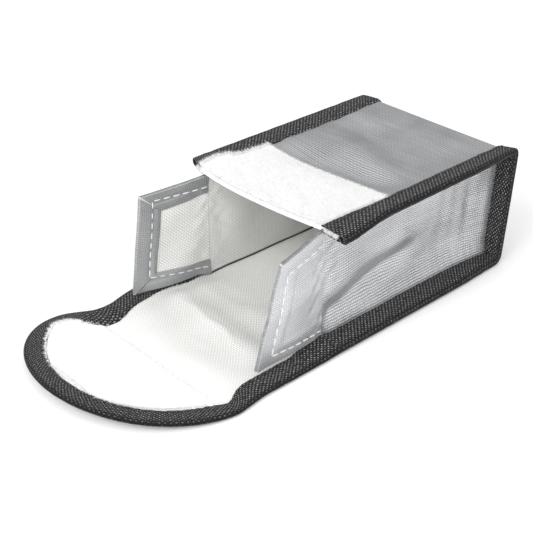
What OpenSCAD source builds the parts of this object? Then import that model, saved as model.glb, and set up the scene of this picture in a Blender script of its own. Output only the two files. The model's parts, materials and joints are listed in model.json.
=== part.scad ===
// Fire-resistant pouch for a lithium battery pack, modelled empty with its flap lying open.
// Millimetres. +X across, +Y from the mouth to the closed end, +Z up.
// The origin is on the underside of the floor, in the middle of the mouth line.
// Sewn cloth is drawn as stacked layers that touch face to face without overlapping.

/* [Pouch] */
// Width between the outer faces of the two side panels
body_w = 62; // [50:1:90]
// Length from the mouth line to the closed end
body_l = 96; // [70:1:160]
// Height over the bound edges
body_h = 47.6; // [35:0.1:70]
// Outside radius of the two bound back corners
corner_r = 4; // [3.5:0.5:10]
// How far the top panel reaches forward of the mouth line
top_lip = 2; // [1:0.1:4]

/* [Binding tape] */
// Width of the folded tape as seen from above
tape_w = 11; // [8:0.5:14]
// Width of the folded tape round the rounded end of the tongue
tongue_tape_w = 8.2; // [6:0.1:14]
// Thickness of one layer of tape
tape_t = 0.6; // [0.4:0.05:1]

/* [Cloth] */
// Thickness of the metallised outer cloth
shell_t = 0.5; // [0.3:0.05:0.8]
// Thickness of the woven lining
lining_t = 0.4; // [0.3:0.05:0.8]

/* [Flap] */
// Length of the front cover between its two folds
cover_l = 48.8; // [45:0.1:75]
// Length of the tongue beyond the upper fold
tongue_l = 39.3; // [30:0.1:50]
// Half width of the tongue at its widest
tongue_hw = 41.5; // [35:0.5:50]
// Squareness of the tongue's rounded end, where 2 is an ellipse
tongue_power = 2.87; // [2:0.01:4]
// Angle the tongue is lifted off the table as modelled
tongue_lift = 7; // [0:1:30]

/* [Side ears] */
// Length of an ear along its lower edge
ear_l = 34; // [25:1:40]
// Length of an ear along its upper edge
ear_top_l = 28; // [20:1:35]
// Angle each ear is splayed outwards as modelled
ear_splay = 9.5; // [0:0.5:20]
// Width of the hem along the free edge of an ear
ear_hem_w = 9.3; // [6:0.1:14]

/* [Closure] */
// Length of the loop strip sewn across the top panel
loop_l = 33; // [20:1:50]
// Thickness of the loop strip
loop_t = 0.9; // [0.6:0.1:1.5]
// Thickness of the hook patch on the tongue
hook_t = 1; // [0.6:0.1:1.5]

/* [Stitching] */
// Distance from one stitch to the next
stitch_pitch = 3.8; // [3:0.1:6]
// Length of one stitch
stitch_l = 2.7; // [2:0.1:4]

/* [Output] */
// Which sub-part to draw

/* [Hidden] */

SILVER = [0.72, 0.73, 0.75];
LINING = [0.9, 0.91, 0.88];
BLACK = [0.09, 0.09, 0.1];
WHITE = [0.97, 0.97, 0.97];
THREAD = [0.93, 0.93, 0.92];

eps = 0.01;
ply_t = shell_t + lining_t;
half_w = body_w / 2;
rim_x = half_w + tape_w;
tape_gap = 0.05;

// Depths of the rim's layers, measured inwards from its outer face
d_shell = tape_t;
d_lining = d_shell + shell_t;
d_side_lining = d_lining + lining_t;
d_side_shell = d_side_lining + lining_t;
d_inner_tape = d_side_shell + shell_t;
rim_t = d_inner_tape + tape_t;
core_x = rim_x - tape_t;

// Heights of the flap's layers either side of its fold line
fold_z = tape_t + ply_t / 2;
z_lining = shell_t - ply_t / 2;
z_top = ply_t / 2;
roll_r = ply_t / 2;
roll_gap = 0.1;

// The two folds of the flap
base_y = -4;
wrap_front_y = base_y + roll_r + roll_gap;
cover_hw = rim_x;
cover_straight_l = 31;
tape_clear = fold_z + 0.1;
inner_clear = roll_r + roll_gap;
patch_y = -tape_clear - roll_gap;

// The tongue's outline is a rounded curve about a centre behind the upper fold
tongue_back = 12.95;
tongue_b = tongue_l + tongue_back;
tongue_steps = 60;
tongue_slot_inset = tape_t + tape_gap;
neck_hw = tongue_hw * pow(1 - pow(tongue_back / tongue_b, tongue_power), 1 / tongue_power);

// The floor is sunk between the rims so that it rests flat on the table
floor_hw = half_w - 0.2;
floor_back_y = body_l - corner_r - 0.5;
wall = 0.5;

// Ears
ear_hinge_x = half_w - ply_t / 2;
ear_z0 = rim_t + 0.2;
ear_z1 = body_h - rim_t - 0.2;
ear_tip_z0 = 4;
ear_tip_z1 = 42.2;
ear_side_hem_w = 7;
ear_hem_t = 0.5;
ear_root = 0.6;
ear_stitch_in = 6.2;
ear_side_stitch_in = 4;
ear_seam_start = 2;
ear_seam_lean = 0.5;
ear_window_lean = 1;

// Stitches
stitch_w = 0.5;
stitch_t = 0.25;
flat_stitch_t = 0.15;
// Seam distances from the tape's inner edge, and from the edges of the hook and loop
tape_seam_in = 2;
rim_stitch_x = half_w + tape_seam_in;
seam_in = 1.6;
stitch_clear = 3.5;
corner_stitches = 3;
corner_lift = 0.03;

// ---- shared shapes -------------------------------------------------------

// A slab seen from the side: open at the front, rounded at both back corners
module side_profile(depth, front_y) {
  r = corner_r - depth;
  translate([front_y, depth]) {
    square([body_l - corner_r - front_y, body_h - 2 * depth]);
  }
  translate([front_y, corner_r]) {
    square([body_l - depth - front_y, body_h - 2 * corner_r]);
  }
  for (z = [corner_r, body_h - corner_r]) {
    translate([body_l - corner_r, z]) circle(r = r);
  }
}

// A band that follows the underside, the back and the top of the pouch
module band_profile(outer, inner, bottom_y, top_y) {
  front_y = min(bottom_y, top_y);
  difference() {
    side_profile(outer, front_y);
    side_profile(inner, front_y - 1);
    translate([front_y - 1, -1]) square([bottom_y - front_y + 1, body_h / 2]);
    translate([front_y - 1, body_h / 2]) square([top_y - front_y + 1, body_h]);
  }
}

// Stands a side profile up and gives it a width from x0 to x1
module across(x0, x1) {
  translate([x0, 0, 0]) rotate([90, 0, 90]) linear_extrude(x1 - x0) children();
}

module block(x0, x1, y0, y1, z0, z1) {
  translate([x0, y0, z0]) cube([x1 - x0, y1 - y0, z1 - z0]);
}

module left_copy() {
  mirror([1, 0, 0]) children();
}

// One stitch lying along +X on a face at z = 0
module stitch(t) {
  translate([-stitch_l / 2, -stitch_w / 2, 0]) cube([stitch_l, stitch_w, t]);
}

// Stitches in a straight line from a to b, lying on the plane z = 0
module stitch_line(a, b, t) {
  run = norm(b - a);
  count = floor(run / stitch_pitch);
  start = (run - (count - 1) * stitch_pitch) / 2;
  for (i = [0 : count - 1]) {
    p = a + (b - a) * (start + i * stitch_pitch) / run;
    translate([p[0], p[1], 0]) {
      rotate([0, 0, atan2(b[1] - a[1], b[0] - a[0])]) stitch(t);
    }
  }
}

// ---- pouch ---------------------------------------------------------------

// A wrapped ply, with a tray that drops its floor to the table
module wrap_ply(outer, inner, floor_z, inset) {
  hw = floor_hw - inset;
  front_y = wrap_front_y + inset;
  back_y = floor_back_y - inset;
  thick = inner - outer;
  difference() {
    union() {
      difference() {
        across(-core_x + tape_gap, core_x - tape_gap) {
          band_profile(outer, inner, wrap_front_y, -top_lip);
        }
        block(-hw, hw, wrap_front_y - 1, back_y, outer - eps, inner + eps);
      }
      block(-hw, hw, front_y, back_y, floor_z, inner);
    }
    block(-hw + wall, hw - wall, front_y + wall, back_y - wall, floor_z + thick, inner + 1);
  }
}

module wrap_shell() {
  color(SILVER) wrap_ply(d_shell, d_lining, 0, 0);
}

module wrap_lining() {
  color(LINING) wrap_ply(d_lining, d_side_lining, shell_t, wall);
}

// A side panel with a flange sewn into the rim all round
module side_ply(x0, x1, outer, inner) {
  across(x0, x1) side_profile(outer, inner_clear);
  across(x0, core_x - tape_gap) band_profile(outer, inner, inner_clear, inner_clear);
}

module right_side_shell_solid() {
  color(SILVER) side_ply(half_w - shell_t, half_w, d_side_shell, d_inner_tape);
}

module right_side_lining_solid() {
  color(LINING) side_ply(half_w - ply_t, half_w - shell_t, d_side_lining, d_side_shell);
}

module right_rim_binding_solid() {
  color(BLACK) difference() {
    across(half_w + tape_gap, rim_x) {
      band_profile(0, rim_t, base_y + tape_clear, -top_lip);
    }
    across(half_w - 1, core_x) {
      band_profile(d_shell, d_inner_tape, base_y - 1, -top_lip - 1);
    }
  }
}

// Stitches along the top of the rim, round the back and along the lower fin
module right_rim_stitching_solid() {
  first_y = 1;
  last_y = body_l - corner_r;
  color(BLACK) {
    translate([rim_stitch_x, 0, body_h]) {
      stitch_line([0, first_y], [0, last_y], stitch_t);
    }
    translate([rim_stitch_x, 0, rim_t]) {
      stitch_line([0, first_y], [0, last_y - 1], stitch_t);
    }
    translate([rim_stitch_x, body_l, 0]) rotate([90, 0, 180]) {
      stitch_line([0, corner_r], [0, body_h - corner_r], stitch_t);
    }
    for (i = [1 : corner_stitches - 1]) {
      translate([rim_stitch_x, last_y, body_h - corner_r]) {
        rotate([-90 * i / corner_stitches, 0, 0]) {
          translate([0, 0, corner_r + corner_lift]) rotate([0, 0, 90]) corner_stitch();
        }
      }
    }
  }
}

// A short stitch for the curved corner, kept clear of the tape's surface
module corner_stitch() {
  translate([-stitch_l / 4, -stitch_w / 2, 0]) cube([stitch_l / 2, stitch_w, stitch_t]);
}

module loop_strip() {
  color(WHITE) {
    block(-half_w + tape_gap, half_w - tape_gap, -top_lip, loop_l - top_lip,
      body_h - tape_t, body_h - tape_t + loop_t);
  }
}

module loop_strip_stitching() {
  x = half_w - seam_in;
  y0 = seam_in - top_lip;
  y1 = loop_l - top_lip - seam_in;
  color(THREAD) translate([0, 0, body_h - tape_t + loop_t]) {
    stitch_line([-x, y1], [x, y1], flat_stitch_t);
    stitch_line([-x, y0], [x, y0], flat_stitch_t);
  }
}

// ---- flap cover, drawn with its base fold at the origin ------------------

module cover_outline(inset) {
  y_far = -cover_l + inner_clear;
  polygon([
    [-cover_hw + inset, 0], [-cover_hw + inset, -cover_straight_l],
    [-neck_hw + inset, y_far], [neck_hw - inset, y_far],
    [cover_hw - inset, -cover_straight_l], [cover_hw - inset, 0]
  ]);
}

module at_cover() {
  translate([0, base_y, fold_z]) children();
}

// A cylinder lying on a fold line
module fold_roll(hw) {
  translate([-hw, 0, 0]) rotate([0, 90, 0]) cylinder(r = roll_r, h = 2 * hw);
}

module cover_shell() {
  inset = tape_t + tape_gap;
  color(SILVER) at_cover() {
    translate([0, 0, -ply_t / 2]) linear_extrude(shell_t) cover_outline(inset);
    fold_roll(cover_hw - inset);
  }
}

module cover_lining() {
  inset = tape_t + tape_gap;
  color(LINING) at_cover() {
    translate([0, 0, z_lining]) linear_extrude(lining_t) {
      intersection() {
        cover_outline(inset);
        translate([-rim_x, -cover_l]) square([2 * rim_x, cover_l - inner_clear]);
      }
    }
  }
}

module right_cover_binding_solid() {
  color(BLACK) at_cover() {
    difference() {
      translate([0, 0, -fold_z]) linear_extrude(2 * fold_z) {
        intersection() {
          cover_outline(0);
          translate([cover_hw - tape_w + tape_gap, -cover_l]) square([tape_w, cover_l]);
        }
      }
      translate([0, 0, -ply_t / 2]) linear_extrude(ply_t) cover_outline(tape_t);
      block(0, rim_x, -tape_clear, 1, -ply_t / 2, fold_z + 1);
      block(0, rim_x, -cover_l, tape_clear - cover_l, -ply_t / 2, fold_z + 1);
    }
  }
}

module right_cover_stitching_solid() {
  color(BLACK) at_cover() translate([0, 0, fold_z]) {
    stitch_line([rim_stitch_x, -stitch_clear], [rim_stitch_x, stitch_clear - cover_l], stitch_t);
  }
}

// ---- tongue, drawn flat with its fold at the origin ----------------------

function curve_point(a, b, t) = [
  a * sign(cos(t)) * pow(abs(cos(t)), 2 / tongue_power),
  tongue_back - b * pow(sin(t), 2 / tongue_power)
];

function curve(inset) = [
  for (i = [0 : tongue_steps])
    curve_point(tongue_hw - inset, tongue_b - inset, 180 * i / tongue_steps)
];

// Distance along a list of points up to point i
function run_to(p, i) = i == 0 ? 0 : run_to(p, i - 1) + norm(p[i] - p[i - 1]);

// The rounded end cut off along a line near the fold
module tongue_outline(inset, start_y) {
  intersection() {
    polygon(curve(inset));
    translate([-rim_x, -2 * tongue_b]) square([2 * rim_x, 2 * tongue_b + start_y]);
  }
}

module at_tongue() {
  translate([0, base_y - cover_l, fold_z]) rotate([-tongue_lift, 0, 0]) children();
}

// Stitches spaced evenly along the rounded end at a given inset
module stitch_curve(inset, start_y, t) {
  all_points = curve(inset);
  points = [for (p = all_points) if (p[1] < start_y) p];
  last = len(points) - 1;
  xs = [for (i = [0 : last]) [run_to(points, i), points[i][0]]];
  ys = [for (i = [0 : last]) [run_to(points, i), points[i][1]]];
  run = run_to(points, last);
  count = floor(run / stitch_pitch);
  start = (run - (count - 1) * stitch_pitch) / 2;
  for (i = [0 : count - 1]) {
    s = start + i * stitch_pitch;
    dx = lookup(s + 1, xs) - lookup(s - 1, xs);
    dy = lookup(s + 1, ys) - lookup(s - 1, ys);
    translate([lookup(s, xs), lookup(s, ys), 0]) rotate([0, 0, atan2(dy, dx)]) stitch(t);
  }
}

module tongue_shell() {
  color(SILVER) at_tongue() {
    translate([0, 0, -ply_t / 2]) linear_extrude(shell_t) tongue_outline(tongue_slot_inset, 0);
    fold_roll(neck_hw - 1);
  }
}

module tongue_lining() {
  color(LINING) at_tongue() {
    translate([0, 0, z_lining]) linear_extrude(lining_t) {
      tongue_outline(tongue_slot_inset, -inner_clear);
    }
  }
}

module tongue_binding() {
  color(BLACK) at_tongue() {
    difference() {
      translate([0, 0, -fold_z]) linear_extrude(2 * fold_z) tongue_outline(0, -roll_gap);
      translate([0, 0, -ply_t / 2]) linear_extrude(ply_t) tongue_outline(tape_t, 1);
      translate([0, 0, -fold_z - 1]) linear_extrude(2 * fold_z + 2) tongue_outline(tongue_tape_w, 1);
      block(-rim_x, rim_x, -tape_clear, 1, -ply_t / 2, fold_z + 1);
    }
  }
}

module tongue_binding_stitching() {
  color(BLACK) at_tongue() translate([0, 0, fold_z]) {
    stitch_curve(tongue_tape_w - tape_seam_in, -stitch_clear, stitch_t);
  }
}

module hook_patch() {
  color(WHITE) at_tongue() translate([0, 0, z_top]) linear_extrude(hook_t) {
    tongue_outline(tongue_tape_w + tape_gap, patch_y);
  }
}

module hook_patch_stitching() {
  y = patch_y - seam_in;
  x = neck_hw - tongue_tape_w - seam_in;
  color(THREAD) at_tongue() translate([0, 0, z_top + hook_t]) {
    stitch_line([-x, y], [x, y], flat_stitch_t);
    stitch_curve(tongue_tape_w + seam_in, y - 2, flat_stitch_t);
  }
}

// ---- ears, drawn flat with the fold on the Z axis and the outside at +Z --

function ear_points(root) = [
  [root, ear_z0], [ear_l, ear_tip_z0], [ear_top_l, ear_tip_z1], [root, ear_z1]
];

function ear_window() = [
  [ear_root - 1, ear_z0 + ear_side_hem_w],
  [ear_l - ear_hem_w - ear_window_lean, ear_tip_z0 + ear_side_hem_w],
  [ear_top_l - ear_hem_w + ear_window_lean, ear_tip_z1 - ear_side_hem_w],
  [ear_root - 1, ear_z1 - ear_side_hem_w]
];

// Turns a flat ear upright on the right-hand fold, pointing forwards
module at_right_ear() {
  translate([ear_hinge_x, 0, 0]) rotate([0, 0, ear_splay]) rotate([90, 0, -90]) children();
}

module right_ear_shell_solid() {
  color(SILVER) at_right_ear() {
    translate([0, 0, -ply_t / 2]) linear_extrude(shell_t) polygon(ear_points(0));
    translate([0, ear_z0, 0]) rotate([-90, 0, 0]) cylinder(r = roll_r, h = ear_z1 - ear_z0);
  }
}

module right_ear_lining_solid() {
  color(LINING) at_right_ear() {
    translate([0, 0, z_lining]) linear_extrude(lining_t) polygon(ear_points(inner_clear));
  }
}

module right_ear_hem_solid() {
  color(SILVER) at_right_ear() translate([0, 0, z_top]) linear_extrude(ear_hem_t) {
    difference() {
      polygon(ear_points(ear_root));
      polygon(ear_window());
    }
  }
}

// The seam that holds the hem, as three lines between these corners
module ear_seam() {
  root = ear_root + ear_seam_start;
  a = [root, ear_z0 + ear_side_stitch_in];
  b = [ear_l - ear_stitch_in - ear_seam_lean, ear_tip_z0 + ear_side_stitch_in];
  c = [ear_top_l - ear_stitch_in + ear_seam_lean, ear_tip_z1 - ear_side_stitch_in];
  d = [root, ear_z1 - ear_side_stitch_in];
  stitch_line(a, b, stitch_t);
  stitch_line(b, c, stitch_t);
  stitch_line(c, d, stitch_t);
}

module right_ear_stitching_solid() {
  color(THREAD) at_right_ear() {
    translate([0, 0, z_top + ear_hem_t]) ear_seam();
    translate([0, 0, -ply_t / 2 - stitch_t]) ear_seam();
  }
}

// ---- output --------------------------------------------------------------

wrap_shell();
wrap_lining();
left_copy() right_side_shell_solid();  // left_side_shell
right_side_shell_solid();  // right_side_shell
left_copy() right_side_lining_solid();  // left_side_lining
right_side_lining_solid();  // right_side_lining
left_copy() right_rim_binding_solid();  // left_rim_binding
right_rim_binding_solid();  // right_rim_binding
left_copy() right_rim_stitching_solid();  // left_rim_stitching
right_rim_stitching_solid();  // right_rim_stitching
loop_strip();
loop_strip_stitching();
cover_shell();
cover_lining();
left_copy() right_cover_binding_solid();  // left_cover_binding
right_cover_binding_solid();  // right_cover_binding
left_copy() right_cover_stitching_solid();  // left_cover_stitching
right_cover_stitching_solid();  // right_cover_stitching
tongue_shell();
tongue_lining();
tongue_binding();
tongue_binding_stitching();
hook_patch();
hook_patch_stitching();
left_copy() right_ear_shell_solid();  // left_ear_shell
left_copy() right_ear_lining_solid();  // left_ear_lining
left_copy() right_ear_hem_solid();  // left_ear_hem
left_copy() right_ear_stitching_solid();  // left_ear_stitching
right_ear_shell_solid();  // right_ear_shell
right_ear_lining_solid();  // right_ear_lining
right_ear_hem_solid();  // right_ear_hem
right_ear_stitching_solid();  // right_ear_stitching
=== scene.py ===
"""Looks for the open battery safety pouch: sewn cloth, bound edges, hook-and-loop pile, stitches."""

import json
import math

import bpy
import numpy as np
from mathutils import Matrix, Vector


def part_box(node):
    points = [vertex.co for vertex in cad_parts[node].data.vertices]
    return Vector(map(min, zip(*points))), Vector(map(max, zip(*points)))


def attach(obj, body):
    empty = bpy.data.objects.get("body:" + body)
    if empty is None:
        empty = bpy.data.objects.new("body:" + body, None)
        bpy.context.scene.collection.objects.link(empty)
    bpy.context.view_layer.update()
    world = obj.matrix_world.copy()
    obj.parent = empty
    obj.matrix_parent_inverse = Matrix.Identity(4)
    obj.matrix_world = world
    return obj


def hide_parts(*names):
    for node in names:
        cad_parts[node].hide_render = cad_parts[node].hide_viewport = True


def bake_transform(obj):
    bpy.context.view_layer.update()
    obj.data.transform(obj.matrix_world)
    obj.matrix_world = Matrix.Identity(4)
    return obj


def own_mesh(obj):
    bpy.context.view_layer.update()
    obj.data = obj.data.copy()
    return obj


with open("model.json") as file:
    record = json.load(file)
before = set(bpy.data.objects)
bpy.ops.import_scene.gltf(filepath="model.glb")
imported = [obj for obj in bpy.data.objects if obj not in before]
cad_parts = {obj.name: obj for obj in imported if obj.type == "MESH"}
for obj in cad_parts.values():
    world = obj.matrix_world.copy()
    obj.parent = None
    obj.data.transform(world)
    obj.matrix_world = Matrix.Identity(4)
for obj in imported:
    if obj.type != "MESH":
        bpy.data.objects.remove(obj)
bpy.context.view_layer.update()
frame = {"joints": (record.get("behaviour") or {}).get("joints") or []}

MM = 0.001

# ---- places read from the CAD, in millimetres ----------------------------


def cad_box(node):
    low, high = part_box(node)
    return np.array(low) / MM, np.array(high) / MM


def joint_at(name):
    joint = next(j for j in frame["joints"] if j["name"] == name)
    return np.array(joint["pos_m"]) / MM


RIM_X = cad_box("right_rim_binding")[1][0]
LENGTH = cad_box("right_rim_binding")[1][1]
HEIGHT = cad_box("right_rim_binding")[1][2]
SHELL_T = 0.5
HALF_W = cad_box("right_side_shell")[0][0] + SHELL_T
TAPE_W = RIM_X - HALF_W
LIP_Y = cad_box("loop_strip")[0][1]
LOOP_BACK = cad_box("loop_strip")[1][1]
TOP_L = -joint_at("flap_top_fold")[1]
FOLD_Z = joint_at("flap_base_fold")[2]
EAR_X = joint_at("right_ear_fold")[0]

CORNER_R = 4.0
RIM_T = 3.0
TAPE_T = 0.6
LINING_T = 0.4
MID_DEPTH = TAPE_T + SHELL_T
SPLIT_L = 28.0
JOIN_L = 1.0

# The flap's outline: straight, drawn in or out at the neck, then half an ellipse
TONGUE_HW = 41.7
TONGUE_POWER = 1.97
TONGUE_MID = 59.0
TONGUE_TIP = 91.5
NECK = {-1: (46.0, 0.082), 1: (53.0, -0.057)}
NECK_RUN = 10.5
TONGUE_LIFT = math.radians(7.0)
BEND_START = 40.8
BEND_RUN = 36.6

# Visible width of the tongue's tape, and how much the cover's tape has narrowed past its first fold
TONGUE_TAPE_W = 7.6
COVER_NARROWING = 1.8
# Where the visible tape swells or the pile hides it: distance from the mouth, run, and change of width
TAPE_CHANGES = {
    -1: ((49.5, 5.0, 3.8), (70.0, 9.0, -2.0)),
    1: ((49.0, 6.0, -3.4),),
}

LEFT, RIGHT = -1, 1

# ---- numbers and noise ---------------------------------------------------


def smooth(t):
    t = np.clip(t, 0.0, 1.0)
    return t * t * (3 - 2 * t)


def bell(d, width):
    return np.exp(-((d / width) ** 2))


def waves(seed, scale, dims=2, count=7):
    """A smooth random field of about -1 to 1, made of a few plane waves."""
    g = np.random.default_rng(seed)
    direction = g.normal(size=(count, dims))
    direction /= np.linalg.norm(direction, axis=1)[:, None]
    k = direction * (2 * math.pi / (scale * g.uniform(0.7, 1.6, count)))[:, None]
    phase = g.uniform(0, 2 * math.pi, count)
    gain = g.uniform(0.6, 1.0, count)
    gain /= gain.sum() * 0.6

    def field(*coords):
        total = 0.0
        for i in range(count):
            arg = phase[i]
            for d, c in enumerate(coords):
                arg = arg + k[i, d] * c
            total = total + gain[i] * np.sin(arg)
        return total

    return field


def unit(v):
    return v / np.maximum(np.linalg.norm(v, axis=-1, keepdims=True), 1e-9)


# ---- mesh building -------------------------------------------------------


class Parts:
    """Collects pieces of mesh, in millimetres, and makes one object of them."""

    def __init__(self):
        self.verts, self.faces, self.uvs, self.count = [], [], [], 0

    def add(self, verts, faces, uvs):
        verts = np.asarray(verts, float).reshape(-1, 3)
        self.verts.append(verts)
        self.uvs.append(np.asarray(uvs, float).reshape(-1, 2))
        for group in faces:
            self.faces.extend((np.asarray(group) + self.count).tolist())
        self.count += len(verts)

    def build(self, name, material, sharp=50.0):
        verts, uvs = np.vstack(self.verts), np.vstack(self.uvs)
        mesh = bpy.data.meshes.new(name)
        mesh.from_pydata((verts * MM).tolist(), [], self.faces)
        mesh.polygons.foreach_set("use_smooth", np.ones(len(mesh.polygons), bool))
        corner = np.empty(len(mesh.loops), np.int32)
        mesh.loops.foreach_get("vertex_index", corner)
        layer = mesh.uv_layers.new(name="UVMap")
        layer.data.foreach_set("uv", uvs[corner].astype(np.float32).ravel())
        mesh.set_sharp_from_angle(angle=math.radians(sharp))
        mesh.materials.append(material)
        mesh.update()
        obj = bpy.data.objects.new(name, mesh)
        bpy.context.scene.collection.objects.link(obj)
        return obj


def grid_quads(nu, nv, start=0, flip=False):
    i = np.arange(nu * nv).reshape(nu, nv) + start
    q = np.stack([i[:-1, :-1], i[1:, :-1], i[1:, 1:], i[:-1, 1:]], -1).reshape(-1, 4)
    return q[:, ::-1] if flip else q


def grid_normals(p):
    return unit(np.cross(np.gradient(p, axis=0), np.gradient(p, axis=1)))


def slab(parts, p, up, down, uv, normals=None):
    """A closed sheet about the grid p, from down below it to up above it."""
    n = grid_normals(p) if normals is None else normals
    nu, nv = p.shape[:2]
    up = np.broadcast_to(np.asarray(up, float), (nu, nv))[..., None]
    down = np.broadcast_to(np.asarray(down, float), (nu, nv))[..., None]
    size = nu * nv
    index = np.arange(size).reshape(nu, nv)
    rim = np.concatenate([index[:-1, 0], index[-1, :-1], index[:0:-1, -1], index[0, :0:-1]])
    nxt = np.roll(rim, -1)
    walls = np.stack([nxt, rim, rim + size, nxt + size], -1)
    parts.add(
        np.concatenate([(p + n * up).reshape(-1, 3), (p + n * down).reshape(-1, 3)]),
        [grid_quads(nu, nv), grid_quads(nu, nv, size, True), walls],
        np.concatenate([uv.reshape(-1, 2)] * 2),
    )


def tube(parts, rings, uv):
    """A closed skin over rings of points (n, m, 3), with flat ends."""
    n, m = rings.shape[:2]
    i = np.arange(n * m).reshape(n, m)
    j = np.roll(i, -1, axis=1)
    q = np.stack([i[:-1], i[1:], j[1:], j[:-1]], -1).reshape(-1, 4)
    parts.add(rings, [q, [i[0].tolist()], [i[-1, ::-1].tolist()]], uv)


def stitches(parts, centres, along, normals, length=2.9, radius=0.24, sink=0.06):
    """Small rounded threads lying on a surface."""
    along = unit(along - normals * np.sum(along * normals, -1, keepdims=True))
    side = np.cross(normals, along)
    ts = np.array([-0.5, -0.42, -0.2, 0.2, 0.42, 0.5]) * length
    rs = np.array([0.25, 0.75, 1.0, 1.0, 0.75, 0.25]) * radius
    lift = np.array([-0.9, -0.1, 0.35, 0.35, -0.1, -0.9]) * radius
    turn = np.arange(6) * math.pi / 3
    for c, a, n, s in zip(centres, along, normals, side):
        axis = c + a * ts[:, None] + n * (lift[:, None] + radius * 0.4 - sink)
        ring = axis[:, None] + (
            s * np.cos(turn)[:, None] + n * np.sin(turn)[:, None] * 0.8
        ) * rs[:, None, None]
        uv = np.zeros((6, 6, 2))
        uv[..., 0], uv[..., 1] = ts[:, None], turn
        tube(parts, ring, uv)


def hairs(parts, roots, normals, seed, length=(0.5, 1.1), lean=0.8, radius=0.05, push=None):
    """Short bent fibres standing on a surface, each a closed three-sided spike."""
    g = np.random.default_rng(seed)
    n = len(roots)
    drift = g.normal(size=(n, 3))
    if push is not None:
        drift = drift * 0.5 + push
    drift -= normals * np.sum(drift * normals, -1, keepdims=True)
    drift = unit(drift)
    size = g.uniform(*length, n)[:, None]
    tilt = lean * g.uniform(0.2, 1.3, n)[:, None]
    middle = roots + normals * size * 0.55 + drift * size * tilt * 0.3
    tip = middle + normals * size * 0.25 * g.uniform(-0.6, 1.0, (n, 1)) + drift * size * tilt * 0.8
    base = roots - normals * 0.12
    side = unit(np.cross(normals, drift))
    rings = []
    for point, r in ((base, radius), (middle, radius * 0.8)):
        for k in range(3):
            t = k * 2 * math.pi / 3
            rings.append(point + (side * math.cos(t) + drift * math.sin(t)) * r)
    verts = np.stack(rings + [tip], 1)
    at = (np.arange(n) * 7)[:, None]
    tris = [[0, 2, 1]] + [[3 + k, 3 + (k + 1) % 3, 6] for k in range(3)]
    quads = [[k, (k + 1) % 3, 3 + (k + 1) % 3, 3 + k] for k in range(3)]
    uv = np.repeat(roots[:, None, :2], 7, axis=1)
    parts.add(verts, [at + np.array(t) for t in tris] + [at + np.array(q) for q in quads], uv)


# ---- materials -----------------------------------------------------------


class Nodes:
    """A short way to write shader node trees."""

    def __init__(self, name):
        self.material = bpy.data.materials.new(name)
        self.material.use_nodes = True
        self.tree = self.material.node_tree
        self.tree.nodes.clear()

    def node(self, kind, inputs=None, **props):
        n = self.tree.nodes.new(kind)
        for k, v in props.items():
            setattr(n, k, v)
        for k, v in (inputs or {}).items():
            if isinstance(v, bpy.types.NodeSocket):
                self.tree.links.new(v, n.inputs[k])
            else:
                n.inputs[k].default_value = v
        return n

    def math(self, op, a, b=0.0, c=0.0):
        return self.node("ShaderNodeMath", {0: a, 1: b, 2: c}, operation=op).outputs[0]

    def noise(self, vector, scale, detail=3.0):
        n = self.node("ShaderNodeTexNoise", {"Vector": vector, "Scale": scale, "Detail": detail})
        return n.outputs["Fac"]

    def ramp(self, value, low, high, to_low=0.0, to_high=1.0):
        n = self.node(
            "ShaderNodeMapRange",
            {"Value": value, "From Min": low, "From Max": high, "To Min": to_low, "To Max": to_high},
        )
        return n.outputs["Result"]

    def mix(self, fac, a, b):
        n = self.node("ShaderNodeMix", data_type="RGBA")
        for key, v in ((0, fac), (6, a), (7, b)):
            if isinstance(v, bpy.types.NodeSocket):
                self.tree.links.new(v, n.inputs[key])
            else:
                n.inputs[key].default_value = v
        return n.outputs[2]


def grey(v, tint=(1.0, 1.0, 1.0)):
    return (v * tint[0], v * tint[1], v * tint[2], 1.0)


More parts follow.
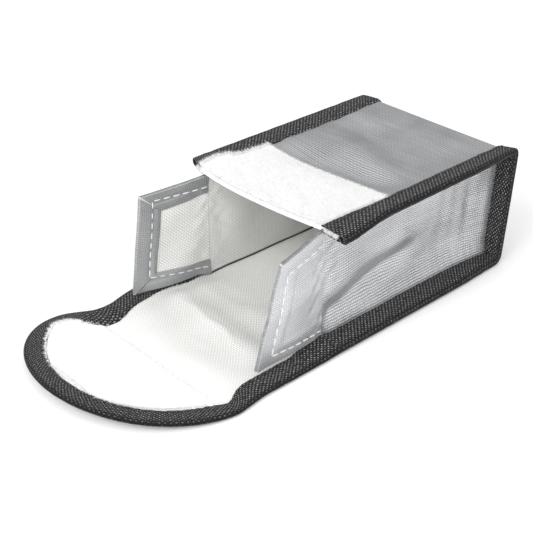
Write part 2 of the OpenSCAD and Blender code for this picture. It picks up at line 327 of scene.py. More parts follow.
def woven(name, pitch, low, high, rough, grid=False, metal=0.0, bump=0.3, mottle_and_shade=0.06, painted_glint=0.0,
          shine=0.5, foot=None, fewer_glints_at=None, fade=None):
    """Plain-woven cloth with threads at the given pitch, in mm; grid shows each crossing as a cell."""
    m = Nodes(name)
    uv = m.node("ShaderNodeUVMap", uv_map="UVMap").outputs[0]
    bend = m.math("MULTIPLY", m.noise(uv, 0.3, 2.0), 0.85 if grid else 0.6)
    sep = m.node("ShaderNodeSeparateXYZ", {0: uv})
    u = m.math("ADD", m.math("DIVIDE", sep.outputs[0], pitch), bend)
    v = m.math("ADD", m.math("DIVIDE", sep.outputs[1], pitch), bend)
    arch_u = m.math("SINE", m.math("MULTIPLY", m.math("FRACT", u), math.pi))
    arch_v = m.math("SINE", m.math("MULTIPLY", m.math("FRACT", v), math.pi))
    cells = m.math("ADD", m.math("FLOOR", u), m.math("FLOOR", v))
    parity = m.math("FLOORED_MODULO", cells, 2.0)
    over = m.math("MULTIPLY", m.math("POWER", arch_v, 0.6), m.math("MULTIPLY_ADD", arch_u, 0.45, 0.55))
    under = m.math("MULTIPLY", m.math("POWER", arch_u, 0.6), m.math("MULTIPLY_ADD", arch_v, 0.45, 0.55))
    if grid:
        cell = m.math("MULTIPLY", m.math("POWER", arch_u, 0.35), m.math("POWER", arch_v, 0.9))
        height = m.math("MULTIPLY_ADD", parity, 0.1, m.math("MULTIPLY", cell, 0.95))
    else:
        height = m.math(
            "ADD",
            m.math("MULTIPLY", over, parity),
            m.math("MULTIPLY", m.math("MULTIPLY", under, 0.6), m.math("SUBTRACT", 1.0, parity)),
        )
    fine = m.noise(uv, 1.6 / pitch, 2.0)
    height = m.math("MULTIPLY_ADD", fine, 0.25, height)
    large = m.noise(uv, 0.06, 3.0)
    drawn_out = m.node("ShaderNodeMapping", {"Vector": uv, "Scale": (0.03, 1.1, 1.0)})
    streak = m.noise(drawn_out.outputs[0], 1.0, 2.0)
    if grid:
        clear = m.ramp(m.noise(uv, 0.1, 2.0), 0.35, 0.65, 0.6, 1.0)
        height = m.math("MULTIPLY_ADD", m.math("SUBTRACT", height, 0.7), clear, 0.7)
    # Large-scale random tone and streaks along the threads; at the silver cloth's strength they also stand in
    # for its satin shading, partly painted shade and sheen.
    shade = m.math("MULTIPLY_ADD", large, mottle_and_shade * 2, m.math("SUBTRACT", height, mottle_and_shade))
    shade = m.math("MULTIPLY_ADD", m.math("SUBTRACT", streak, 0.5), mottle_and_shade * 2, shade)
    colour = m.mix(m.ramp(shade, 0.15, 1.05), low, high)
    # Painted glints: light grey flecks on the raised thread crests stand in for highlights; they are weakened
    # near the tape's fold.
    if painted_glint:
        glint_mask = m.math("MULTIPLY", m.ramp(height, 0.6, 1.0), m.ramp(m.noise(uv, 0.9, 3.0), 0.3, 0.65))
        if fewer_glints_at:
            off = m.math("ABSOLUTE", m.math("SUBTRACT", sep.outputs[1], fewer_glints_at))
            glint_mask = m.math("MULTIPLY", glint_mask, m.ramp(off, 0.8, 2.2, 0.25, 1.0))
        colour = m.mix(m.math("MULTIPLY", glint_mask, painted_glint), colour, grey(0.4))
    # Painted light: the colour is brightened towards the high colour with distance along the cloth from a
    # given line, so it is darker near that line and lighter away from it.
    if fade:
        away = m.math("ABSOLUTE", m.math("SUBTRACT", sep.outputs[1], fade[0]))
        colour = m.mix(m.ramp(away, fade[1], fade[2], 0.0, 0.8), colour, high)
    # Painted shade: below the given height the colour turns nearly black, a dark line where the wall meets
    # the floor.
    if foot:
        colour = m.mix(m.ramp(sep.outputs[1], foot - 0.7, foot), grey(0.02), colour)
    bumped = m.node("ShaderNodeBump", {"Strength": bump, "Distance": 0.0002, "Height": height})
    bsdf = m.node(
        "ShaderNodeBsdfPrincipled",
        {"Base Color": colour, "Roughness": m.ramp(large, 0.3, 0.7, rough - 0.05, rough + 0.07),
         "Metallic": metal, "Normal": bumped.outputs[0], "Specular IOR Level": shine},
    )
    m.node("ShaderNodeOutputMaterial", {0: bsdf.outputs[0]})
    return m.material


def fuzzy(name, value):
    m = Nodes(name)
    where = m.node("ShaderNodeTexCoord").outputs["Object"]
    fine = m.noise(where, 900.0, 4.0)
    large = m.noise(where, 60.0, 2.0)
    colour = m.mix(m.ramp(m.math("MULTIPLY_ADD", large, 0.4, fine), 0.4, 1.0), grey(value * 0.9), grey(value))
    bumped = m.node("ShaderNodeBump", {"Strength": 0.5, "Distance": 0.0004, "Height": fine})
    bsdf = m.node(
        "ShaderNodeBsdfPrincipled",
        {"Base Color": colour, "Roughness": 0.9, "Normal": bumped.outputs[0], "Sheen Weight": 0.4,
         "Specular IOR Level": 0.25},
    )
    m.node("ShaderNodeOutputMaterial", {0: bsdf.outputs[0]})
    return m.material


def thread(name, value):
    m = Nodes(name)
    uv = m.node("ShaderNodeUVMap", uv_map="UVMap").outputs[0]
    sep = m.node("ShaderNodeSeparateXYZ", {0: uv})
    twist = m.math("ADD", m.math("MULTIPLY", sep.outputs[0], 9.0), sep.outputs[1])
    ply = m.math("SINE", m.math("MULTIPLY", twist, 2.0))
    colour = m.mix(m.ramp(ply, -1.0, 1.0), grey(value * 0.82), grey(value))
    bumped = m.node("ShaderNodeBump", {"Strength": 0.4, "Distance": 0.0001, "Height": ply})
    bsdf = m.node(
        "ShaderNodeBsdfPrincipled",
        {"Base Color": colour, "Roughness": 0.6, "Normal": bumped.outputs[0]},
    )
    m.node("ShaderNodeOutputMaterial", {0: bsdf.outputs[0]})
    return m.material


COOL = (0.98, 0.995, 1.025)
# The silver cloth's strong mottling is partly painted shade and sheen.
SILVER = woven("silver_cloth", 0.95, grey(0.15, COOL), grey(0.8, COOL), 0.32, grid=True, metal=0.75,
               bump=0.5, mottle_and_shade=0.16)
EAR_CLOTH = woven("ear_cloth", 0.85, grey(0.32, COOL), grey(0.8, COOL), 0.36, grid=True, metal=0.6, bump=0.4,
                  mottle_and_shade=0.12)
# The hems are the same silver cloth, coloured darker than the panels as painted shade.
HEM = woven("hem_cloth", 0.85, grey(0.2, COOL), grey(0.5, COOL), 0.34, grid=True, metal=0.7, bump=0.5,
            mottle_and_shade=0.12)
OFF_WHITE = grey(0.98, (1.0, 1.0, 0.98))
WARM = (1.0, 1.01, 0.965)
# The lining carries painted light: it is darkest about 14 mm out on the flap and brightened deeper inside the
# pouch and out on the tongue.
LINING = woven("lining_cloth", 0.7, grey(0.38, WARM), OFF_WHITE, 0.8, bump=0.5, mottle_and_shade=0.04,
               fade=(-14.0, 8.0, 40.0))
# The side lining has a painted shade line along its bottom edge, where it meets the floor.
SIDE_LINING = woven("side_lining_cloth", 0.7, grey(0.56, WARM), OFF_WHITE, 0.8, bump=0.6, mottle_and_shade=0.04,
                    foot=2.6)
# The black tape carries painted glints: grey flecks on its thread crests, fewer near its fold.
TAPE = woven("binding_tape", 0.86, grey(0.001), grey(0.014), 0.5, bump=1.0, mottle_and_shade=0.1, painted_glint=1.0,
             shine=0.15, fewer_glints_at=TAPE_W)
# The loop pile is coloured a little darker than the hook pile as painted shade.
LOOP_PILE = fuzzy("loop_pile", 0.87)
HOOK_PILE = fuzzy("hook_pile", 0.98)
WHITE_THREAD = thread("white_thread", 0.9)
BLACK_THREAD = thread("black_thread", 0.05)


# ---- the wrap: floor, closed end and top ---------------------------------

floor_noise = waves(11, 26.0)
top_noise = waves(12, 30.0)
end_noise = waves(13, 22.0)
flap_noise = waves(14, 24.0)


def half_width(l, side):
    """Half width of the flap on one side at distance l from the mouth, to the tape's outer edge."""
    l = np.asarray(l, float)
    far = np.clip((l - TONGUE_MID) / (TONGUE_TIP - TONGUE_MID), 0.0, 1.0)
    curve = np.maximum(1 - far**TONGUE_POWER, 0.0) ** (1 / TONGUE_POWER)
    straight = RIM_X - (RIM_X - TONGUE_HW) * smooth((l - 25.0) / 15.0)
    place, pinch = NECK[side]
    return straight * curve * (1 - pinch * bell(l - place, NECK_RUN) * smooth((l - 5) / 20))


def tape_width(l, side):
    """Visible width of the flap's tape at distance l from the mouth."""
    l = np.asarray(l, float)
    cover_w = TAPE_W - COVER_NARROWING * smooth((l - 10) / 10)
    width = cover_w + (TONGUE_TAPE_W - cover_w) * smooth((l - 50) / 10)
    for place, run, change in TAPE_CHANGES[side]:
        width = width + change * bell(l - place, run)
    return width


def flap_shift(l):
    """The tongue lies a little to the left of the flap's middle line."""
    return -1.0 * smooth((l - 40) / 20) - 0.117 * np.clip(l - 50, 0, 99)


def inside_tape(x, l):
    """Distance from the tape's inner edge towards the middle of the flap."""
    total = 0.0
    for side in (LEFT, RIGHT):
        hw = half_width(l, side)
        slope = half_width(l + 0.5, side) - half_width(l - 0.5, side)
        gap = (hw - np.abs(x)) / np.sqrt(1 + np.minimum(slope**2, 60.0)) - tape_width(l, side)
        total = total + np.where(x * side >= 0, gap, 0.0) * np.where(x == 0, 0.5, 1.0)
    return np.minimum(total, TONGUE_TIP - TONGUE_TAPE_W - l)


def cloth_z(x, y):
    """Height of the layer between shell and lining, over the floor and the flap."""
    l = -y
    inside = inside_tape(x, l)
    sag = 0.55 * smooth((inside + 0.8) / 3.2)
    ripple = 0.35 * floor_noise(x, y) + 0.3
    ridge = 1.3 * bell(l - 22.0 - 0.1 * x, 5.0) * smooth((l - 4) / 10)
    crease = 0.55 * bell(l - 23.5 - 0.12 * x + 0.8 * np.sin(x * 0.33), 1.4) * bell(x + 2, 16.0)
    ridge = ridge + crease
    lift = 0.9 * bell(l - 6.0, 7.0) * (1 + 0.4 * np.sin(x * 0.16))
    crumple = 0.5 * flap_noise(x, y) * smooth(l / 8) * (1 - smooth((l - 40) / 12))
    middle = smooth(inside / 9.0)
    return MID_DEPTH - sag + middle * np.maximum(ripple + ridge + lift + crumple, 0.0)


def top_sag(x, y):
    """How far the top panel hangs below the line between its two rims."""
    across = np.maximum(1 - (np.abs(x) / HALF_W) ** 2.4, 0.0)
    front = 1.7 * (1 - smooth((y + 2) / 30)) * (1 - 0.35 * x / HALF_W)
    valley = 2.8 * bell(y - 36.0 - 0.12 * x, 7.5)
    crease = 1.2 * bell(y - 62.0 + 0.35 * x, 5.0) - 0.9 * bell(y - 51.0 + 0.3 * x, 5.0)
    back = 0.8 * top_noise(x, y) * smooth((LENGTH - y) / 14) * smooth((y - 28) / 10)
    return across * (front + valley + crease + back)


def end_push(x, z):
    across = np.maximum(1 - (np.abs(x) / HALF_W) ** 2.4, 0.0)
    return across * np.sin(math.pi * np.clip(z / HEIGHT, 0, 1)) * (0.8 + 0.5 * end_noise(x, z))


def band_path(depth, y_low, y_high, step=1.3):
    """Points and outward normals along floor, closed end and top at a depth below the tape's face."""
    r = CORNER_R - depth
    flat = LENGTH - CORNER_R
    ys = np.linspace(y_low, flat, max(2, int((flat - y_low) / step)))
    t1 = np.linspace(-90, 0, 10)[1:] * math.pi / 180
    zs = np.linspace(CORNER_R, HEIGHT - CORNER_R, int((HEIGHT - 2 * CORNER_R) / step))[1:]
    t2 = np.linspace(0, 90, 10)[1:] * math.pi / 180
    yt = np.linspace(flat, y_high, max(2, int((flat - y_high) / step)))[1:]
    y = np.concatenate([ys, flat + r * np.cos(t1), np.full(len(zs), LENGTH - depth),
                        flat + r * np.cos(t2), yt])
    z = np.concatenate([np.full(len(ys), depth), CORNER_R + r * np.sin(t1), zs,
                        HEIGHT - CORNER_R + r * np.sin(t2), np.full(len(yt), HEIGHT - depth)])
    ny = np.concatenate([np.zeros(len(ys)), np.cos(t1), np.ones(len(zs)), np.cos(t2), np.zeros(len(yt))])
    nz = np.concatenate([-np.ones(len(ys)), np.sin(t1), np.zeros(len(zs)), np.sin(t2), np.ones(len(yt))])
    arc = CORNER_R * math.pi / 2
    s = np.concatenate([ys, flat + arc * np.linspace(0, 1, 10)[1:], flat + arc + zs - CORNER_R,
                        flat + arc + HEIGHT - 2 * CORNER_R + arc * np.linspace(0, 1, 10)[1:],
                        flat + 2 * arc + HEIGHT - 2 * CORNER_R + (flat - yt)])
    return y, z, ny, nz, s


def settle(p):
    """Moves pouch points from the CAD's upright box to how the sewn pouch really stands."""
    q = np.array(p, float)
    x, y, z = p[..., 0], p[..., 1], p[..., 2]
    back = np.clip(y / LENGTH, 0, 1)
    high = z / HEIGHT
    out = np.clip((np.abs(x) - HALF_W) / TAPE_W, 0, 1) ** 1.2
    upper = smooth((high - 0.45) / 0.5)
    middle = smooth((y - 4) / 22) * smooth((LENGTH - 4 - y) / 22)
    droop = np.where(x < 0, 0.6, 1.6 - 3.3 * smooth((y + 2) / 26))
    slant = np.where(x < 0, 4.2, 1.4) * np.clip((np.abs(x) - HALF_W) / TAPE_W, 0, 1)
    slant = slant * smooth((high - 0.8) / 0.1) * (1 - smooth((y - LIP_Y) / 14))
    rear = np.where(x > 0, smooth((y - LENGTH + 30) / 28), 0.0)
    q[..., 0] += rear * (1.3 * np.clip(x / HALF_W, 0, 1) - 2.2 * out)
    q[..., 1] += back * (3.4 * high - 1.7 - 1.6 * x / RIM_X) + slant
    q[..., 2] += 1.1 * back * high - upper * (droop * out + 0.8 * middle * (1 - out))
    return q


def wrap_grid(y_low):
    y, z, ny, nz, s = band_path(MID_DEPTH, y_low, LIP_Y)
    xs = np.linspace(-RIM_X + 0.9, RIM_X - 0.9, 76)
    x = np.broadcast_to(xs, (len(y), len(xs)))
    yy = np.broadcast_to(y[:, None], x.shape).copy()
    zz = np.broadcast_to(z[:, None], x.shape).copy()
    on_floor = np.broadcast_to((nz < -0.999)[:, None], x.shape)
    floor_fade = smooth((LENGTH - CORNER_R - yy) / 9)
    zz = np.where(on_floor, MID_DEPTH + (cloth_z(x, yy) - MID_DEPTH) * floor_fade, zz)
    up_y, up_z = ny[:, None], np.maximum(nz, 0)[:, None]
    sag = top_sag(x, yy) * up_z
    push = end_push(x, zz) * np.clip(up_y, 0, 1)
    zz = zz - sag
    yy = yy - push
    tucked = smooth((np.abs(x) - HALF_W) / 1.5) * up_z * (1 - smooth((yy - LIP_Y) / 4))
    yy = yy + 1.1 * tucked
    grid = np.stack([x, yy, zz], -1)
    uv = np.stack([x, np.broadcast_to(s[:, None], x.shape)], -1)
    return settle(grid), uv


def top_point(x, y):
    """A point on the outer face of the top panel, or on the left rim's tape beyond it."""
    on_tape = smooth((-x - HALF_W + 0.2) / 0.8)
    z = HEIGHT - TAPE_T * (1 - on_tape) - top_sag(x, y)
    return settle(np.stack([x, y, z], -1))


def build_wrap():
    grid, uv = wrap_grid(-JOIN_L)
    shell, lining = Parts(), Parts()
    slab(shell, grid, SHELL_T, 0.0, uv)
    slab(lining, grid, -0.01, -LINING_T, uv)
    a = shell.build("wrap_shell_cloth", SILVER)
    b = lining.build("wrap_lining_cloth", LINING)
    for obj, node, name in ((a, "wrap_shell", "silver_cloth"), (b, "wrap_lining", "lining_cloth")):
        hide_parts(node)
        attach(obj, "pouch")


# ---- side panels ---------------------------------------------------------


def side_push(y, z, side):
    """How far a side panel is pushed inwards; it flares out again where it runs into the seams."""
    hold = np.clip(np.sin(math.pi * np.clip(z / HEIGHT, 0, 1)), 0, 1) ** 0.8
    back = smooth((LENGTH - 2 - y) / 14)
    middle = np.sin(math.pi * np.clip(y / LENGTH, 0, 1)) ** 0.8
    flare = 1.3 * bell(z - RIM_T + 0.5, 3.2) * smooth((y + 1) / 6) + 0.8 * bell(LENGTH - RIM_T - y, 4.0)
    flare = flare * (1.0 if side == RIGHT else 0.15)
    pucker = 0.4 * fold_noise(y, z) * smooth(y / 2) * (1 - smooth((y - 3) / 9)) * hold - flare
    if side == LEFT:
        return hold * back * (middle - 0.5 + 1.1 * side_noise_l(y, z)) * smooth(y / 10) + pucker
    across = z - (11.0 + 0.19 * y)
    fade = 1 - smooth((y - 36) / 26)
    valley = 2.2 * bell(across + 1.5, 4.0) - 0.6 * bell(across - 6.5, 5.5)
    low_fold = -0.35 * bell(across + 8.5, 4.0)
    pleats = 0.08 * np.sin(y * 0.85 + 0.06 * z) * smooth((y - 45) / 25) * smooth(z / 20)
    skirt = 1.7 * smooth((z - 2) / 12) * (1 - smooth((z - 14) / 24)) * smooth((y - 8) / 20)
    gather = 0.22 * np.sin(y * 1.7 + 0.8 * np.sin(y * 0.21)) * bell(z - 4.5, 4.0)
    drape = 1.2 * middle + skirt + gather + pleats + 0.55 * side_noise_r(y, z)
    return hold * (back * drape + (valley + low_fold) * fade * smooth(y / 6 + 0.35)) + pucker


fold_noise = waves(20, 6.0)
side_noise_r = waves(21, 22.0)
side_noise_l = waves(22, 24.0)


def build_side(side):
    name = "right" if side == RIGHT else "left"
    ys = np.linspace(-0.25, LENGTH - RIM_T + 0.8, 96)
    zs = np.linspace(1.35, HEIGHT - 1.5, 56)
    y, z = np.meshgrid(ys, zs, indexing="ij")
    if side == LEFT:
        y = y[::-1]
    x = side * (HALF_W - SHELL_T - side_push(y, z, side))
    grid = settle(np.stack([x, y, z], -1))
    uv = np.stack([y, z], -1)
    shell, lining = Parts(), Parts()
    slab(shell, grid, SHELL_T, 0.0, uv)
    slab(lining, grid, -0.01, -LINING_T, uv)
    fy, fz, _, _, fs = band_path(2.15, 0.8, 0.8)
    xs = np.linspace(HALF_W - 0.4, RIM_X - 1.2, 6) * side
    gx = np.broadcast_to(xs, (len(fy), len(xs)))
    gy, gz = (np.broadcast_to(k[:, None], gx.shape) for k in (fy, fz))
    flange = settle(np.stack([gx, gy, gz], -1))
    fuv = np.stack([gx, np.broadcast_to(fs[:, None], gx.shape)], -1)
    slab(shell, flange, 0.25 * side, -0.25 * side, fuv)
    slab(lining, flange, 0.63 * side, 0.27 * side, fuv)
    a = shell.build(name + "_side_shell_cloth", SILVER)
    b = lining.build(name + "_side_lining_cloth", SIDE_LINING)
    for obj, node, slot in ((a, "_side_shell", "silver_cloth"), (b, "_side_lining", "lining_cloth")):
        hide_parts(name + node)
        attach(obj, "pouch")


# ---- binding tape --------------------------------------------------------


def tape_profile(half_t):
    """Folded tape seen from its end: (distance from the inner edge, height), outer skin then inner."""
    reach = TAPE_W - 1.4
    a = np.concatenate([[0.0, 0.12], np.linspace(0.5, reach, 11)])
    top = half_t - 0.45 + 0.45 * smooth((a + 0.5) / 1.6) + 0.14 * np.sin(math.pi * np.clip(a / reach, 0, 1))
    top = top - 0.16 * bell(a - 2.0, 0.55)
    top[0] -= 0.16
    t = np.linspace(80, -80, 8) * math.pi / 180
    edge_a, edge_n = reach + 1.4 * np.cos(t), half_t * np.sin(t)
    outer_a = np.concatenate([a, edge_a, a[::-1]])
    outer_n = np.concatenate([top, edge_n, -top[::-1]])
    ai = np.linspace(0.05, reach - 0.1, 6)
    ni = np.full(6, half_t - TAPE_T + 0.02)
    ti = np.linspace(-70, 70, 5) * math.pi / 180
    inner_a = np.concatenate([ai, reach + 0.8 * np.cos(ti), ai[::-1]])
    inner_n = np.concatenate([-ni, (half_t - TAPE_T) * np.sin(ti), ni])
    return np.concatenate([outer_a, inner_a]), np.concatenate([outer_n, inner_n]), len(outer_a)


def sweep_tape(parts, place, s, half_t, seed, mirror=False):
    """Sweeps the folded tape along s. place(i, a, n) gives points; mirror turns each ring round."""
    wav = waves(seed, 14.0, 1)
    puff = waves(seed + 50, 9.0, 1)
    rings, uvs = [], []
    for i, si in enumerate(s):
        a, n, outer = tape_profile(half_t[i])
        a = a + (1 - a / TAPE_W) * (0.3 * wav(si) + 0.12 * math.sin(si * 2.1))
        n = n * (1 + 0.05 * puff(si))
        rings.append(place(i, a, n))
        skin = np.concatenate([a[: outer // 2], 2 * TAPE_W - a[outer // 2: outer], a[outer:] + 40])
        uvs.append(np.stack([np.full(len(a), si), skin], -1))
    rings, uvs = np.array(rings), np.array(uvs)
    if mirror:
        rings, uvs = rings[:, ::-1], uvs[:, ::-1]
    tube(parts, rings, uvs)


def build_rim(side):
    name = "right" if side == RIGHT else "left"
    y, z, ny, nz, s = band_path(RIM_T / 2, -JOIN_L, LIP_Y, 1.1)
    flat = LENGTH - CORNER_R
    arc = CORNER_R * math.pi / 2
    corners = (flat + arc / 2, flat + 1.5 * arc + HEIGHT - 2 * CORNER_R)
    pleat = waves(31 + side, 3.0, 1)

    def place(i, a, n):
        x = side * (HALF_W + a)
        near = max(bell(s[i] - c, 3.6) for c in corners)
        inward = (n < 0) * smooth((TAPE_W - a) / 3)
        tuck = max(bell(s[i] - c + 0.4, 0.8) for c in corners)
        n = n - (0.25 * near + 0.9 * tuck) * inward * smooth(a / 2.5)
        n = n + 0.12 * near * (n > 0) * pleat(s[i])
        return settle(np.stack([x, y[i] + ny[i] * n, z[i] + nz[i] * n], -1))

    parts = Parts()
    sweep_tape(parts, place, s, np.full(len(s), RIM_T / 2), 41 + side, mirror=side == LEFT)
    tape = parts.build(name + "_rim_tape", TAPE)
    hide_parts(name + "_rim_binding")
    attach(tape, "pouch")

    seam = Parts()
    run = np.arange(1.5, s[-1] - 1.5, 3.8)
    idx = np.clip(np.searchsorted(s, run), 1, len(s) - 2)
    lift = RIM_T / 2 + 0.02
    cut = z[idx] > 2.0
    idx = idx[cut]
    x = np.full(len(idx), side * (HALF_W + 2.0))
    c = settle(np.stack([x, y[idx] + ny[idx] * lift, z[idx] + nz[idx] * lift], -1))
    t = np.stack([np.zeros(len(idx)), y[idx + 1] - y[idx - 1], z[idx + 1] - z[idx - 1]], -1)
    nn = np.stack([np.zeros(len(idx)), ny[idx], nz[idx]], -1)
    stitches(seam, c, t, nn, length=2.7, radius=0.22)
    obj = seam.build(name + "_rim_stitches", BLACK_THREAD)
    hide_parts(name + "_rim_stitching")
    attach(obj, "pouch")


# ---- flap ----------------------------------------------------------------


def bend_tables():
    l = np.linspace(-10, 110, 1201)
    angle = TONGUE_LIFT * smooth((l - BEND_START) / BEND_RUN)
    dl = l[1] - l[0]
    run = np.concatenate([[0], np.cumsum((np.cos(angle[1:]) + np.cos(angle[:-1])) / 2 * dl)]) - 10
    rise = np.concatenate([[0], np.cumsum((np.sin(angle[1:]) + np.sin(angle[:-1])) / 2 * dl)])
    return l, run, rise, angle


BEND = bend_tables()


def flap_point(x, l, h):
    """Flap coordinates (across, distance from the mouth, height) to a point in the frame."""
    run = np.interp(l, BEND[0], BEND[1])
    rise = np.interp(l, BEND[0], BEND[2])
    angle = np.interp(l, BEND[0], BEND[3])
    above = h - FOLD_Z
    return np.stack([x + flap_shift(l), -run + np.sin(angle) * above,
                     FOLD_Z + rise + np.cos(angle) * above], -1)


def flap_cloth(l0, l1, rows, columns):
    if l1 > TOP_L:
        t = np.linspace(0, 1, rows)
        ls = l0 + (l1 - l0) * np.sin(t * math.pi / 2) ** 1.15
    else:
        ls = np.linspace(l0, l1, rows)
    side = np.linspace(-1, 1, columns)
    l, u = np.meshgrid(ls, side, indexing="ij")
    wide = np.where(u < 0, half_width(l, LEFT), half_width(l, RIGHT))
    x = np.maximum(wide - 1.2, 0.3) * u
    h = cloth_z(x, -l)
    grid = flap_point(x, l, h)
    return grid, np.stack([x, -l], -1)


def build_flap():
    pieces = (
        ("cover", JOIN_L, SPLIT_L, 40, ("pouch", "flap_cover"), (-1.5, -6.5), "cover"),
        ("tongue", SPLIT_L, TONGUE_TIP - 1.6, 90, ("flap_cover", "flap_tongue"), (-50.3, -55.3), "tongue"),
    )
    for label, l0, l1, rows, bodies, zone, node in pieces:
        grid, uv = flap_cloth(l0, l1, rows, 72)
        shell, lining = Parts(), Parts()
        slab(lining, grid, LINING_T, 0.01, uv)
        slab(shell, grid, 0.0, -SHELL_T, uv)
        a = shell.build(label + "_shell_cloth", SILVER)
        b = lining.build(label + "_lining_cloth", LINING)
        for obj, n, slot in ((a, "_shell", "silver_cloth"), (b, "_lining", "lining_cloth")):
            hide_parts(node + n)
            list(bodies)
            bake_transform(obj)


def outline_points():
    """The flap's outer edge from the right of the mouth round to the left, every millimetre."""
    end = 3.0
    l = np.concatenate([np.linspace(JOIN_L, TONGUE_TIP - end, 400),
                        TONGUE_TIP - end * (1 - np.sin(np.linspace(0, 1, 120) * math.pi / 2))])
    right = np.stack([half_width(l, RIGHT), l], -1)
    left = np.stack([-half_width(l, LEFT), l], -1)[::-1][1:]
    p = np.concatenate([right, left])
    run = np.concatenate([[0], np.cumsum(np.linalg.norm(np.diff(p, axis=0), axis=1))])
    s = np.append(np.arange(0, run[-1], 1.0), run[-1])
    p = np.stack([np.interp(s, run, p[:, 0]), np.interp(s, run, p[:, 1])], -1)
    t = unit(np.gradient(p, axis=0))
    for _ in range(6):
        t[1:-1] = unit(t[:-2] + t[1:-1] * 2 + t[2:])
    inward = np.stack([-t[:, 1], t[:, 0]], -1)
    width = np.where(p[:, 0] < 0, tape_width(p[:, 1], LEFT), tape_width(p[:, 1], RIGHT))
    return p, inward, width, s


def build_flap_tape():
    p, inward, width, s = outline_points()
    half = 1.5 - 0.45 * smooth((p[:, 1] - JOIN_L) / 8)
    width = width / TAPE_W
    first = int(np.argmax(p[:, 1] > SPLIT_L))
    last = len(p) - 1 - first

    def place_from(start):
        def place(i, a, n):
            k = i + start
            w = (TAPE_W - a) * width[k]
            xy = p[k] + inward[k] * w[:, None]
            return flap_point(xy[:, 0], xy[:, 1], half[k] + n)
        return place

    spans = (
        ("right_cover_tape", 0, first, ("pouch", "flap_cover"), (-1.5, -6.5), "right_cover_binding"),
        ("tongue_tape", first, last, ("flap_cover", "flap_tongue"), (-50.3, -55.3), "tongue_binding"),
        ("left_cover_tape", last, len(p) - 1, ("pouch", "flap_cover"), (-1.5, -6.5), "left_cover_binding"),
    )
    for name, a, b, bodies, zone, node in spans:
        parts = Parts()
        sweep_tape(parts, place_from(a), s[a:b + 1], half[a:b + 1], 61)
        obj = parts.build(name, TAPE)
        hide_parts(node)
        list(bodies)
        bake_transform(obj)

    run = np.arange(4.0, s[-1] - 4.0, 3.8)
    idx = np.clip(np.searchsorted(s, run), 1, len(s) - 2)
    a = np.full(len(idx), 2.0)
    w = (TAPE_W - a) * width[idx]
    xy = p[idx] + inward[idx] * w[:, None]
    h = 2 * half[idx]
    centre = flap_point(xy[:, 0], xy[:, 1], h)
    ahead = flap_point(*(p[idx + 1] + inward[idx + 1] * w[:, None]).T, h)
    above = flap_point(xy[:, 0], xy[:, 1], h + 1.0)
    along, normal = ahead - centre, unit(above - centre)
    right = (p[idx, 0] > 0) & (p[idx, 1] < TOP_L - 3) & (p[idx, 1] > 7)
    left = (p[idx, 0] < 0) & (p[idx, 1] < TOP_L - 3) & (p[idx, 1] > 7)
    far = p[idx, 1] > TOP_L + 3
    for name, pick, body, node in (
        ("right_cover_stitches", right, "flap_cover", "right_cover_stitching"),
        ("left_cover_stitches", left, "flap_cover", "left_cover_stitching"),
        ("tongue_stitches", far, "flap_tongue", "tongue_binding_stitching"),
    ):
        parts = Parts()
        stitches(parts, centre[pick], along[pick], normal[pick], length=2.7, radius=0.2)
        obj = parts.build(name, BLACK_THREAD)
        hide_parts(node)
        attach(obj, body)


# ---- hook and loop -------------------------------------------------------


def pad_rise(edge, thick, reach=0.9):
    """Rounded shoulder of a soft pad at a distance from its edge."""
    t = np.clip(edge / reach, 0, 1)
    return thick * (0.25 + 0.75 * np.sqrt(np.maximum(1 - (1 - t) ** 2, 0)))


lump = waves(71, 1.3, 2, 12)
lump2 = waves(72, 6.0, 2, 8)


